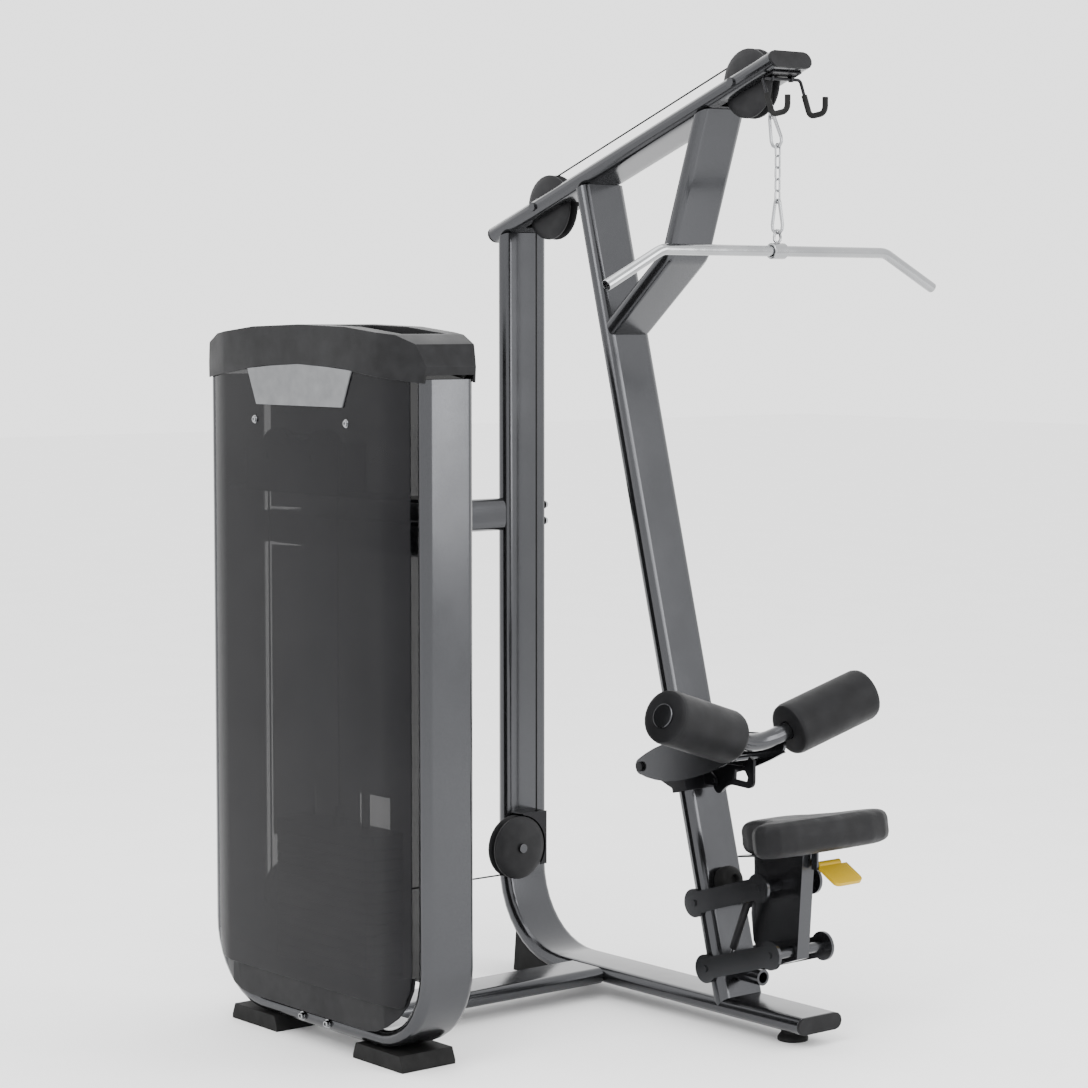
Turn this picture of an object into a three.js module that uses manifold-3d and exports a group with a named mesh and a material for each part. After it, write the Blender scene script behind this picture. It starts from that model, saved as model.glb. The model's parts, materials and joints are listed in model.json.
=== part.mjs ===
// Lat pulldown machine: weight tower, leaning mast, top arm with pulleys, thigh rollers and seat.
// Millimetres, +Z up. X runs along the base beam from the rear column (-X) to the seat (+X).
// Y = 0 is the centre plane of the beam, mast and arm; the weight tower stands on the -Y side.
// At the end the whole group is moved so that its origin is the middle of its box, on the floor.
import * as THREE from 'three';
import { mergeVertices } from 'three/addons/utils/BufferGeometryUtils.js';
import Module from 'manifold-3d';

const wasm = await Module();
wasm.setup();

// ---------- driving dimensions ----------
const GAP = 0.5;                 // clearance between pieces that touch
const TUBE_W = 138;              // flat-oval frame tube, wide side
const TUBE_T = 40;               // flat-oval frame tube, narrow side
const ARM_W = 130;               // the arm's tube is a little narrower
const FAR = 4000;                // longer than anything on the machine, for cutting tools

const BEAM_Z = 53;               // centre height of the base beam
const BEAM_END_X = 396;
const COLUMN_X = -685;
const COLUMN_BEND = 217;         // centre-line bend radius between column and beam
const MAST_LEAN = THREE.MathUtils.degToRad(14.92);
const MAST_FOOT_X = 144.7;       // where the mast's centre line meets the floor
const ARM_REAR_X = -736;
const ARM_FRONT_X = 280;

const CABLE_R = 2.2;
const PULLEY_R = 66;             // cable radius on the large pulleys
const PULLEY_FACE = 60;          // flat face of a large pulley
const PULLEY_RIM = 80;
const SMALL_R = 50;              // cable radius on the tower pulleys
const SMALL_RIM = 64;
const SMALL_FACE = 45;
const PULLEY_HALF = 24;          // half width of a pulley at its hub
const AXLE_R = 8;
const REAR_AXLE = [-561, 0, 1937];
const FRONT_AXLE = [156, 0, 2200];
const CABLE_X = REAR_AXLE[0] - PULLEY_R;      // cable's vertical run in front of the column
const COLUMN_PULLEY = [CABLE_X, -PULLEY_R, 325];

const TOWER_X = -348;            // tower centre
const TOWER_Y = -811.5;
const TOWER_HALF = 424;          // half of the tower's width over its legs
const TOWER_BOTTOM = 38;
const TOWER_BEND = 175;          // centre-line bend radius of the tower's lower corners
const LEG_TOP = 1532;
const CROSS_Z = 1168;            // upper cross tube
const BAY_DEPTH = 103;           // shield's middle facet, from the tower's centre plane
const BAY_EDGE_DEPTH = 74;       // shield's edges
const BAY_HALF = 300;            // half width of the middle facet
const ROD_SPREAD = 104;          // guide rod from the tower centre
const ROD_R = 9.5;
const PLATE_W = 380;
const PLATE_D = 106;
const PLATE_PITCH = 24;
const PLATE_GAP = 2;
const RESTING_PLATES = 10;
const LIFTED_PLATES = 4;
const STACK_BOTTOM = 134;
const HEADER_Z = 1262;           // underside of the tower's pulley header
const TOWER_PULLEY_Z = 1345;

const LINK_LENGTH = 227;
const LINK_ANGLE = THREE.MathUtils.degToRad(17.4);
const LINK_SPACING = 155;        // between the two pivots on the mast, along it
const LINK_UPPER_Z = 292;
const LINK_FACE = 88;            // outer face of the link plates
const LINK_PLATE = 8;
const LINK_END_R = 34;
const SEAT_TILT = THREE.MathUtils.degToRad(9);
const SEAT_REAR = [450, 0, 464];

const THIGH_PIVOT = [-130, 0, 592];
const THIGH_VERTEX = [182, 0, 670];           // where the two roller axes meet
const THIGH_FACE = 82;                        // outer face of the swinging plates
const THIGH_PLATE = 8;
const ROLLER_TILT = THREE.MathUtils.degToRad(17.6);
const ROLLER_SWEEP = THREE.MathUtils.degToRad(6.7);
const ROLLER_START = 97;
const ROLLER_LENGTH = 241;
const ROLLER_R = 63;
const VEE_R = 21;

const BAR_Z = 1816;              // lat bar's middle
const BAR_R = 12.5;

// ---------- colours ----------
const GUNMETAL = { color: 0x3a3a3d, roughness: 0.25, metalness: 0.6 };
const BLACK_METAL = { color: 0x1d1d1f, roughness: 0.35, metalness: 0.5 };
const PLASTIC = { color: 0x4a4a4c, roughness: 0.5, metalness: 0 };
const BLACK_PLASTIC = { color: 0x151516, roughness: 0.5, metalness: 0 };
const SMOKED = { color: 0x202224, roughness: 0.1, metalness: 0 };
const STEEL = { color: 0xc9c9c9, roughness: 0.15, metalness: 1 };
const VINYL = { color: 0x2a2a2b, roughness: 0.6, metalness: 0 };
const RUBBER = { color: 0x161616, roughness: 0.8, metalness: 0 };
const IRON = { color: 0x2b2b2d, roughness: 0.6, metalness: 0.4 };
const YELLOW = { color: 0xc6a71c, roughness: 0.5, metalness: 0 };

const machine = new THREE.Group();

function addMesh(name, geometry, look, parent = machine) {
  const mesh = new THREE.Mesh(geometry, new THREE.MeshStandardMaterial(look));
  mesh.name = name;
  parent.add(mesh);
  return mesh;
}

// ---------- solids: join and cut ----------
function toSolid(geometry) {
  const bare = geometry.clone();
  for (const attribute of ['normal', 'uv', 'color']) {
    bare.deleteAttribute(attribute);
  }
  const merged = mergeVertices(bare, 1e-3);
  const vertProperties = new Float32Array(merged.attributes.position.array);
  const triVerts = new Uint32Array(merged.index.array);
  return new wasm.Manifold(new wasm.Mesh({ numProp: 3, vertProperties, triVerts }));
}

function toGeometry(solid) {
  const mesh = solid.getMesh();
  const geometry = new THREE.BufferGeometry();
  geometry.setAttribute('position', new THREE.BufferAttribute(mesh.vertProperties, 3));
  geometry.setIndex(new THREE.BufferAttribute(mesh.triVerts, 1));
  return geometry;
}

function join(...geometries) {
  const solids = geometries.map(toSolid);
  return toGeometry(solids.reduce((whole, piece) => whole.add(piece)));
}

function cut(geometry, ...tools) {
  const start = toSolid(geometry);
  return toGeometry(tools.reduce((left, tool) => left.subtract(toSolid(tool)), start));
}

function common(a, b) {
  return toGeometry(toSolid(a).intersect(toSolid(b)));
}

// ---------- shapes ----------
function box(x0, x1, y0, y1, z0, z1) {
  const geometry = new THREE.BoxGeometry(x1 - x0, y1 - y0, z1 - z0);
  return geometry.translate((x0 + x1) / 2, (y0 + y1) / 2, (z0 + z1) / 2);
}

// A cylinder centred on (x, y, z) along the axis 'x', 'y' or 'z'.
function rod(radius, length, axis, [x, y, z], sides = 20) {
  const geometry = new THREE.CylinderGeometry(radius, radius, length, sides);
  if (axis === 'x') {
    geometry.rotateZ(Math.PI / 2);
  }
  if (axis === 'z') {
    geometry.rotateX(Math.PI / 2);
  }
  return geometry.translate(x, y, z);
}

// A turned piece. The profile's points are (radius, distance along the axis), either way round.
function turned(profile, axis, [x, y, z], sides = 32) {
  const points = profile.map(([r, along]) => new THREE.Vector2(r, along));
  if (THREE.ShapeUtils.area(points) < 0) {
    points.reverse();
  }
  const geometry = new THREE.LatheGeometry(points, sides);
  if (axis === 'x') {
    geometry.rotateZ(-Math.PI / 2);
  }
  if (axis === 'z') {
    geometry.rotateX(Math.PI / 2);
  }
  return geometry.translate(x, y, z);
}

function shapeFrom(points) {
  return new THREE.Shape(points.map(([a, b]) => new THREE.Vector2(a, b)));
}

function flatOval(width, thickness, arcSteps = 6) {
  const r = thickness / 2;
  const points = [];
  for (const side of [1, -1]) {
    for (let i = 0; i <= arcSteps; i += 1) {
      const angle = -Math.PI / 2 + (Math.PI * i) / arcSteps;
      points.push([side * (width / 2 - r + r * Math.cos(angle)), side * r * Math.sin(angle)]);
    }
  }
  return shapeFrom(points);
}

function circle(radius, sides = 12) {
  const points = [];
  for (let i = 0; i < sides; i += 1) {
    const angle = (2 * Math.PI * i) / sides;
    points.push([radius * Math.cos(angle), radius * Math.sin(angle)]);
  }
  return shapeFrom(points);
}

// A bent tube's centre line: straight runs joined by round bends at the corner points.
class BentLine extends THREE.Curve {
  constructor(corners, radius, stepDegrees, side) {
    super();
    this.side = side && new THREE.Vector3(...side);
    this.points = [];
    this.tangents = [];
    const nodes = corners.map((corner) => new THREE.Vector3(...corner));
    this.addPoint(nodes[0], nodes[1].clone().sub(nodes[0]));
    for (let i = 1; i < nodes.length - 1; i += 1) {
      const into = nodes[i].clone().sub(nodes[i - 1]).normalize();
      const out = nodes[i + 1].clone().sub(nodes[i]).normalize();
      const turn = into.angleTo(out);
      const size = Array.isArray(radius) ? radius[i - 1] : radius;
      const setback = size * Math.tan(turn / 2);
      const start = nodes[i].clone().addScaledVector(into, -setback);
      const inward = out.clone().addScaledVector(into, -out.dot(into)).normalize();
      const centre = start.clone().addScaledVector(inward, size);
      const steps = Math.max(2, Math.ceil(THREE.MathUtils.radToDeg(turn) / stepDegrees));
      for (let k = 0; k <= steps; k += 1) {
        const angle = (turn * k) / steps;
        const tangent = into.clone().multiplyScalar(Math.cos(angle));
        tangent.addScaledVector(inward, Math.sin(angle));
        const spoke = into.clone().multiplyScalar(Math.sin(angle));
        spoke.addScaledVector(inward, -Math.cos(angle));
        this.addPoint(centre.clone().addScaledVector(spoke, size), tangent);
      }
    }
    const last = nodes.length - 1;
    this.addPoint(nodes[last], nodes[last].clone().sub(nodes[last - 1]));
  }

  addPoint(point, tangent) {
    const previous = this.points[this.points.length - 1];
    if (previous && previous.distanceTo(point) < 0.01) {
      return;
    }
    this.points.push(point.clone());
    this.tangents.push(tangent.clone().normalize());
  }

  at(list, u, target) {
    return target.copy(list[Math.round(u * (list.length - 1))]);
  }

  getPoint(u, target = new THREE.Vector3()) {
    return this.at(this.points, u, target);
  }

  getPointAt(u, target = new THREE.Vector3()) {
    return this.at(this.points, u, target);
  }

  getTangentAt(u, target = new THREE.Vector3()) {
    return this.at(this.tangents, u, target);
  }

  // A flat bend keeps the section's first axis along one side direction all the way.
  computeFrenetFrames(segments, closed) {
    if (!this.side) {
      return super.computeFrenetFrames(segments, closed);
    }
    const tangents = this.tangents;
    const normals = tangents.map(() => this.side.clone());
    const binormals = tangents.map((tangent) => tangent.clone().cross(this.side));
    return { tangents, normals, binormals };
  }
}

const SIDE_X = [1, 0, 0];
const SIDE_Y = [0, 1, 0];
const SIDE_Z = [0, 0, 1];

function sweep(shape, corners, { radius = 1, stepDegrees = 9, side = SIDE_Y } = {}) {
  const line = new BentLine(corners, radius, stepDegrees, side);
  const settings = { steps: line.points.length - 1, extrudePath: line, curveSegments: 1 };
  return new THREE.ExtrudeGeometry(shape, settings);
}

// A plate whose outline lies in the XZ plane, between two Y values.
function sidePlate(outline, y0, y1) {
  const shape = outline instanceof THREE.Shape ? outline : shapeFrom(outline);
  const geometry = new THREE.ExtrudeGeometry(shape, { depth: y1 - y0, bevelEnabled: false });
  return geometry.rotateX(Math.PI / 2).translate(0, y1, 0);
}

// A plate whose outline lies in the XY plane, between two Z values.
function flatPlate(outline, z0, z1) {
  const settings = { depth: z1 - z0, bevelEnabled: false };
  return new THREE.ExtrudeGeometry(shapeFrom(outline), settings).translate(0, 0, z0);
}

// A cutting block that fills everything on the side of a plane its normal points to.
function beyond(point, normal) {
  const block = new THREE.BoxGeometry(FAR, FAR, FAR).translate(0, 0, FAR / 2);
  const turn = new THREE.Quaternion();
  turn.setFromUnitVectors(new THREE.Vector3(0, 0, 1), new THREE.Vector3(...normal).normalize());
  return block.applyQuaternion(turn).translate(...point);
}

// The outline round two circles joined by straight tangents, in the XZ plane.
function barOutline([ax, az], [bx, bz], ra, rb, steps = 10) {
  const along = Math.atan2(bz - az, bx - ax);
  const lean = Math.asin((ra - rb) / Math.hypot(bx - ax, bz - az));
  const points = [];
  for (let i = 0; i <= steps; i += 1) {
    const angle = along + Math.PI / 2 - lean + ((Math.PI + 2 * lean) * i) / steps;
    points.push([ax + ra * Math.cos(angle), az + ra * Math.sin(angle)]);
  }
  for (let i = 0; i <= steps; i += 1) {
    const angle = along - Math.PI / 2 + lean + ((Math.PI - 2 * lean) * i) / steps;
    points.push([bx + rb * Math.cos(angle), bz + rb * Math.sin(angle)]);
  }
  return points;
}

// ---------- places on the mast and the arm ----------
const mastUp = [-Math.sin(MAST_LEAN), 0, Math.cos(MAST_LEAN)];
const mastFront = [Math.cos(MAST_LEAN), 0, Math.sin(MAST_LEAN)];

function onMast(z, forward = 0) {
  const x = MAST_FOOT_X - z * Math.tan(MAST_LEAN);
  return [x + forward * mastFront[0], 0, z + forward * mastFront[2]];
}

const armSlope = Math.atan2(FRONT_AXLE[2] - REAR_AXLE[2], FRONT_AXLE[0] - REAR_AXLE[0]);
const armUp = [-Math.sin(armSlope), 0, Math.cos(armSlope)];

function onArm(x, up = 0) {
  const z = REAR_AXLE[2] + (x - REAR_AXLE[0]) * Math.tan(armSlope);
  return [x + up * armUp[0], 0, z + up * armUp[2]];
}

const underArm = beyond(onArm(0, -TUBE_T / 2 - GAP), armUp);

// ---------- frame ----------
const frameTube = flatOval(TUBE_W, TUBE_T);

const upperPivot = onMast(LINK_UPPER_Z);
const lowerPivot = onMast(LINK_UPPER_Z - LINK_SPACING * Math.cos(MAST_LEAN));
const PIVOT_R = 12;

// A pulley axle along X, from a block behind the pulley to a bolt head in front of it.
function facingAxle([x, y, z]) {
  return join(
    rod(AXLE_R, 66, 'x', [x - 6, y, z]),
    rod(14, 9, 'x', [x - PULLEY_HALF - 6, y, z]),
    rod(12, 6, 'x', [x + PULLEY_HALF + GAP + 3, y, z]),
  );
}
const columnTube = cut(
  sweep(frameTube, [[COLUMN_X, 0, 1950], [COLUMN_X, 0, BEAM_Z], [BEAM_END_X, 0, BEAM_Z]], {
    radius: COLUMN_BEND,
  }),
  underArm,
);
// The pulley's axle block stands on the column's side, where its centre lies beyond the tube.
const axleBlock = box(COLUMN_X - 15, COLUMN_X + 21, COLUMN_PULLEY[1] - 16, -40, 309, 341);
addMesh('column_and_base_tube', join(columnTube, axleBlock, facingAxle(COLUMN_PULLEY)), GUNMETAL);

// The mast's foot is cut round the beam it stands on.
const beamRoom = sweep(flatOval(TUBE_W + 2 * GAP, TUBE_T + 2 * GAP), [
  [-300, 0, BEAM_Z],
  [BEAM_END_X, 0, BEAM_Z],
]);
const mastBlank = sweep(frameTube, [onMast(30), onMast(2050)]);
const pivotBores = [upperPivot, lowerPivot].map((p) => rod(PIVOT_R + GAP, 200, 'y', p));
// The gas spring's foot turns on a pin at the mast's front.
const GAS_Y = -48;
const GAS_PIN_R = 4.5;
const gasFoot = [142, GAS_Y, 152];
const gasLug = sidePlate(
  barOutline([gasFoot[0], gasFoot[2]], [onMast(148)[0], 148], 10, 16, 6),
  GAS_Y + 7,
  GAS_Y + 13,
);
const gasPin = rod(GAS_PIN_R, 22, 'y', [gasFoot[0], GAS_Y + 3, gasFoot[2]], 12);

// A short open tube stands out of the mast's front as the stop of the lower seat link.
const stubStart = onMast(127, 10);
const stubEnd = 212;
const stubLength = stubEnd - stubStart[0];
const stub = cut(
  rod(19, stubLength, 'x', [stubEnd - stubLength / 2, 0, 127], 24),
  rod(13, 70, 'x', [stubEnd, 0, 127], 20),
);
addMesh('mast_tube', cut(
  join(mastBlank, stub, gasLug, gasPin),
  beyond([0, 0, BEAM_Z], [0, 0, -1]),
  beamRoom,
  underArm,
  ...pivotBores,
), GUNMETAL);

const strutCorners = [onMast(1630), [-66, 0, 1814], onArm(70, 20)];
const strutBlank = sweep(frameTube, strutCorners, { radius: 60, stepDegrees: 12 });
const mastFaceCut = beyond(onMast(1600, TUBE_T / 2 + GAP), mastFront.map((value) => -value));
addMesh('branch_strut', cut(strutBlank, mastFaceCut, underArm), GUNMETAL);

const slotHalf = Math.sqrt(PULLEY_RIM ** 2 - (TUBE_T / 2) ** 2) + 10;
function armSlot(axle) {
  const slot = new THREE.BoxGeometry(2 * slotHalf, 2 * PULLEY_HALF + 8, 3 * TUBE_T);
  return slot.rotateY(-armSlope).translate(...axle);
}
function armAxle(axle) {
  return join(
    rod(AXLE_R, ARM_W, 'y', axle),
    rod(11, 7, 'y', [axle[0], -ARM_W / 2 - 1, axle[2]], 12),
    rod(9, 8, 'y', [axle[0], ARM_W / 2 + 1, axle[2]], 6),
  );
}
const armTube = cut(
  sweep(flatOval(ARM_W, TUBE_T), [onArm(ARM_REAR_X), onArm(ARM_FRONT_X)]),
  armSlot(REAR_AXLE),
  armSlot(FRONT_AXLE),
);
addMesh('top_arm_tube', join(armTube, armAxle(REAR_AXLE), armAxle(FRONT_AXLE)), GUNMETAL);

const CAP_T = 6;
const armAlong = [Math.cos(armSlope), 0, Math.sin(armSlope)];
function armCap(x, direction) {
  const start = onArm(x).map((value, i) => value + direction * GAP * armAlong[i]);
  const end = start.map((value, i) => value + direction * CAP_T * armAlong[i]);
  return sweep(flatOval(ARM_W, TUBE_T), [start, end]);
}
addMesh('arm_rear_cap', armCap(ARM_REAR_X, -1), BLACK_PLASTIC);
addMesh('arm_front_cap', armCap(ARM_FRONT_X, 1), BLACK_PLASTIC);
addMesh('base_end_cap', sweep(frameTube, [
  [BEAM_END_X + GAP, 0, BEAM_Z],
  [BEAM_END_X + GAP + CAP_T, 0, BEAM_Z],
]), BLACK_PLASTIC);

// ---------- weight tower frame ----------
const legCentre = TOWER_HALF - TUBE_T / 2;
const towerBase = TOWER_BOTTOM + TUBE_T / 2;
const towerHoop = sweep(frameTube, [
  [TOWER_X - legCentre, TOWER_Y, LEG_TOP],
  [TOWER_X - legCentre, TOWER_Y, towerBase],
  [TOWER_X + legCentre, TOWER_Y, towerBase],
  [TOWER_X + legCentre, TOWER_Y, LEG_TOP],
], { radius: TOWER_BEND });
// A post welded into the lower bend carries the pulley that turns the cable towards the column.
const LOW_PULLEY = [CABLE_X, TOWER_Y + SMALL_R, COLUMN_PULLEY[2] - PULLEY_R + SMALL_R];
const postFront = CABLE_X - PULLEY_HALF - 9;
const lowPost = box(postFront - 8, postFront, TOWER_Y, LOW_PULLEY[1] + 22, towerBase + 14, LOW_PULLEY[2] + 24);
addMesh('tower_frame_tube', join(towerHoop, lowPost, facingAxle(LOW_PULLEY)), GUNMETAL);

const towerBack = TOWER_Y + TUBE_W / 2;
const CROSS_W = 82;
const CROSS_T = 28;
const crossMemberY = towerBack + CROSS_T / 2 + GAP;
const crossReach = legCentre - TUBE_T / 2 - GAP;
const crossTabs = [-1, 1].map((side) => {
  const [x0, x1] = [side * (crossReach - 6), side * crossReach].sort((a, b) => a - b);
  return box(x0, x1, TOWER_Y + 5, towerBack + 8, CROSS_Z - 38, CROSS_Z + 38).translate(TOWER_X, 0, 0);
});
addMesh('tower_cross_member', join(
  sweep(flatOval(CROSS_W, CROSS_T), [
    [TOWER_X - crossReach, crossMemberY, CROSS_Z],
    [TOWER_X + crossReach - 14, crossMemberY, CROSS_Z],
  ], { side: SIDE_Z }),
  box(TOWER_X + crossReach - 20, TOWER_X + crossReach, towerBack + GAP, towerBack + 8, CROSS_Z - 38, CROSS_Z + 38),
  ...crossTabs,
), GUNMETAL);

const columnSide = -TUBE_W / 2 - GAP;
addMesh('upper_cross_tube', sweep(flatOval(CROSS_W, 46), [
  [COLUMN_X, crossMemberY + CROSS_T / 2 + GAP, CROSS_Z],
  [COLUMN_X, columnSide, CROSS_Z],
], { side: SIDE_Z }), GUNMETAL);
addMesh('lower_cross_tube', sweep(frameTube, [
  [TOWER_X, towerBack + GAP, BEAM_Z],
  [TOWER_X, columnSide, BEAM_Z],
], { side: SIDE_X }), GUNMETAL);

// ---------- feet ----------
const footShape = [[-94, 0], [94, 0], [94, 10], [66, 78], [-66, 78], [-94, 10]];
const tubeRoom = flatOval(TUBE_W + 2, TUBE_T + 2);
const towerRoom = sweep(tubeRoom, [
  [TOWER_X - legCentre, TOWER_Y, 900],
  [TOWER_X - legCentre, TOWER_Y, towerBase],
  [TOWER_X + legCentre, TOWER_Y, towerBase],
  [TOWER_X + legCentre, TOWER_Y, 900],
], { radius: TOWER_BEND });
const FOOT_SPREAD = 246;
for (const [name, side] of [['tower_foot_left', -1], ['tower_foot_right', 1]]) {
  const block = sidePlate(footShape, TOWER_Y - 74, TOWER_Y + 74);
  block.translate(TOWER_X + side * FOOT_SPREAD, 0, 0);
  const above = beyond([0, 0, TOWER_BOTTOM - 1], [0, 0, 1]);
  addMesh(name, cut(block, towerRoom, above), BLACK_PLASTIC);
}
const beamUnder = BEAM_Z - TUBE_T / 2 - GAP;
addMesh('front_foot', turned([
  [0, 0], [36, 0], [36, 8], [27, 18], [27, beamUnder], [0, beamUnder],
], 'z', [312, 0, 0]), RUBBER);
const columnRoom = sweep(tubeRoom, [
  [COLUMN_X, 0, 900],
  [COLUMN_X, 0, BEAM_Z],
  [BEAM_END_X, 0, BEAM_Z],
], { radius: COLUMN_BEND });
const rearBlock = sidePlate([
  [-664, 0], [-548, 0], [-530, 40], [-620, 150], [-650, 150],
], -46, 46);
addMesh('rear_foot', cut(rearBlock, columnRoom, beyond([-612, 0, 120], [0.75, 0, 1])), BLACK_PLASTIC);

// ---------- tower covers ----------
// Half of the three-facet plan, from the tower's centre plane outwards in -Y (or +Y).
function bayPlan(grow, side = -1) {
  const outline = [
    [TOWER_HALF + grow, 0],
    [TOWER_HALF + grow, BAY_EDGE_DEPTH - 12 + grow],
    [TOWER_HALF - 22 + grow, BAY_EDGE_DEPTH + grow],
    [BAY_HALF, BAY_DEPTH + grow],
  ];
  const right = outline.map(([x, y]) => [TOWER_X + x, TOWER_Y + side * y]);
  const left = outline.map(([x, y]) => [TOWER_X - x, TOWER_Y + side * y]).reverse();
  return [...right, ...left];
}

// The opening inside the tower's tube as seen from the front, made smaller by the inset.
function towerOpening(inset, top) {
  const outline = [[TOWER_X + legCentre - TUBE_T / 2 - inset, top]];
  const size = TOWER_BEND - TUBE_T / 2 - inset;
  for (const side of [1, -1]) {
    const middle = TOWER_X + side * (legCentre - TOWER_BEND);
    for (let i = 0; i <= 6; i += 1) {
      const angle = (Math.PI / 2) * (side === 1 ? i / 6 : 1 - i / 6);
      const z = towerBase + TOWER_BEND - size * Math.sin(angle);
      outline.push([middle + side * size * Math.cos(angle), z]);
    }
  }
  outline.push([TOWER_X - legCentre + TUBE_T / 2 + inset, top]);
  return sidePlate(outline, TOWER_Y - 300, TOWER_Y + 300);
}
function facetSkin(z0, z1, side, depth = 0, wall = 3) {
  const outer = bayPlan(-depth, side).slice(2, 6);
  const inner = bayPlan(-depth - wall, side).slice(2, 6).reverse();
  return flatPlate([...outer, ...inner], z0, z1);
}

const SHIELD_TOP = 1590;
const SHIELD_BOTTOM = 150;
const opening = towerOpening(2, SHIELD_TOP);
addMesh('tower_front_shield', common(facetSkin(SHIELD_BOTTOM, SHIELD_TOP, -1), opening), SMOKED);

const pinSlot = box(TOWER_X - 60, TOWER_X + 60, -FAR, FAR, 0, 560);
const pulleyNotch = box(-900, CABLE_X + PULLEY_HALF + 14, -FAR, FAR, 0, 420);
const crossNotches = [-1, 1].map((side) => {
  const notch = box(-60, 60, -FAR, FAR, -CROSS_W / 2 - 5, CROSS_W / 2 + 5);
  return notch.translate(TOWER_X + side * (BAY_HALF + 53), 0, CROSS_Z);
});
addMesh('tower_rear_shield', cut(
  common(facetSkin(SHIELD_BOTTOM, SHIELD_TOP, 1), opening),
  pinSlot,
  pulleyNotch,
  ...crossNotches,
), SMOKED);

// The base cover stands behind the shield's lower edge, with an arched top.
const coverArch = [[400, 36], [285, 16], [140, 5], [0, 0], [-140, 5], [-285, 16], [-400, 36]];
const coverTop = sidePlate([
  ...coverArch.map(([x, z]) => [TOWER_X + x, 188 + z]),
  [TOWER_X - 400, 400],
  [TOWER_X + 400, 400],
], -FAR / 2, FAR / 2);
const coverBlank = common(facetSkin(towerBase, 300, -1, 8, 4), towerOpening(2, 300));
addMesh('tower_base_cover', cut(coverBlank, coverTop), BLACK_PLASTIC);

const CAP_OUT = 5;
const CAP_WALL = 4;
const capTop = [[-427, 60], [-405, 108], [-350, 128], [-180, 145], [0, 150], [180, 145], [350, 128],
  [405, 108], [427, 60]];
function capProfile(shrink, floor) {
  const arch = [[420, 24], [300, 36], [150, 55], [0, 61], [-150, 55], [-300, 36], [-420, 24]];
  const top = capTop.map(([x, z]) => [x * (1 - shrink / TOWER_HALF), z - shrink]);
  const lower = arch.map(([x, z]) => [x, z]);
  const closing = floor ? lower : [[425, -80], [-425, -80]];
  const outline = [...top, ...closing];
  return outline.map(([x, z]) => [TOWER_X + x, 1500 + z]);
}
function fullPlan(grow) {
  const front = bayPlan(grow, -1).slice(1, 7);
  const rear = bayPlan(grow, 1).slice(1, 7).reverse();
  return [...front, ...rear];
}
const capOuter = common(
  sidePlate(capProfile(0, true), TOWER_Y - 200, TOWER_Y + 200),
  flatPlate(fullPlan(CAP_OUT), 1400, 1800),
);
const capInner = common(
  sidePlate(capProfile(CAP_WALL, false), TOWER_Y - 200, TOWER_Y + 200),
  flatPlate(fullPlan(CAP_OUT - CAP_WALL), 1400, 1800),
);
// The tray in the cap's top, or the block of its walls and floor when it is grown by their thickness.
function capTray(wall) {
  const [x0, x1] = [TOWER_X + 60 - wall, TOWER_X + 330 + wall];
  return box(x0, x1, TOWER_Y - 60 - wall, TOWER_Y + 60 + wall, 1618 - wall, 1800);
}
const capRoom = cut(capInner, capTray(CAP_WALL));
addMesh('tower_cap', cut(capOuter, capRoom, capTray(0)), PLASTIC);

// ---------- guide rods, header and weight stack ----------
const rodFloor = towerBase + TUBE_T / 2 + GAP;
for (const [side, name] of [[-1, 'left'], [1, 'right']]) {
  const x = TOWER_X + side * ROD_SPREAD;
  const length = HEADER_Z - GAP - rodFloor;
  const centre = [x, TOWER_Y, rodFloor + length / 2];
  addMesh(`guide_rod_${name}`, rod(ROD_R, length, 'z', centre, 20), STEEL);
  addMesh(`stack_bumper_${name}`, turned([
    [ROD_R + 1, 0], [26, 0], [28, 8], [28, 26], [24, 34], [ROD_R + 1, 34], [ROD_R + 1, 0],
  ], 'z', [x, TOWER_Y, rodFloor + 1], 24), RUBBER);
}

const plateEdge = [
  [-PLATE_W / 2, -PLATE_D / 2 + 14], [-PLATE_W / 2 + 14, -PLATE_D / 2],
  [PLATE_W / 2 - 14, -PLATE_D / 2], [PLATE_W / 2, -PLATE_D / 2 + 14],
  [PLATE_W / 2, PLATE_D / 2 - 14], [PLATE_W / 2 - 14, PLATE_D / 2],
  [-PLATE_W / 2 + 14, PLATE_D / 2], [-PLATE_W / 2, PLATE_D / 2 - 14],
];
const plateOutline = plateEdge.map(([x, y]) => [TOWER_X + x, TOWER_Y + y]);
function stackOf(count, bottom) {
  const thickness = PLATE_PITCH - PLATE_GAP;
  const pieces = [];
  for (let i = 0; i < count; i += 1) {
    const z = bottom + i * PLATE_PITCH;
    pieces.push(flatPlate(plateOutline, z, z + thickness));
  }
  const top = bottom + (count - 1) * PLATE_PITCH + thickness;
  pieces.push(box(TOWER_X - 160, TOWER_X + 160, TOWER_Y - 30, TOWER_Y + 30, bottom + 1, top - 1));
  const bores = [-1, 1].map((side) => (
    rod(ROD_R + 1.5, 2000, 'z', [TOWER_X + side * ROD_SPREAD, TOWER_Y, 500])
  ));
  return { whole: join(...pieces), bores };
}
const liftedBottom = STACK_BOTTOM + 2 + RESTING_PLATES * PLATE_PITCH;
const headBottom = liftedBottom + LIFTED_PLATES * PLATE_PITCH;
const headTop = headBottom + 30;
const resting = stackOf(RESTING_PLATES, STACK_BOTTOM + 2);
addMesh('weight_plates_resting', cut(resting.whole, ...resting.bores), IRON);

const PIN_R = 5;
const pinZ = liftedBottom + (PLATE_PITCH - PLATE_GAP) / 2;
const pinBore = rod(PIN_R + GAP, 200, 'y', [TOWER_X, TOWER_Y + 60, pinZ], 12);
const lifted = stackOf(LIFTED_PLATES, liftedBottom);
addMesh('weight_plates_selected', cut(lifted.whole, ...lifted.bores, pinBore), IRON);

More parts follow.
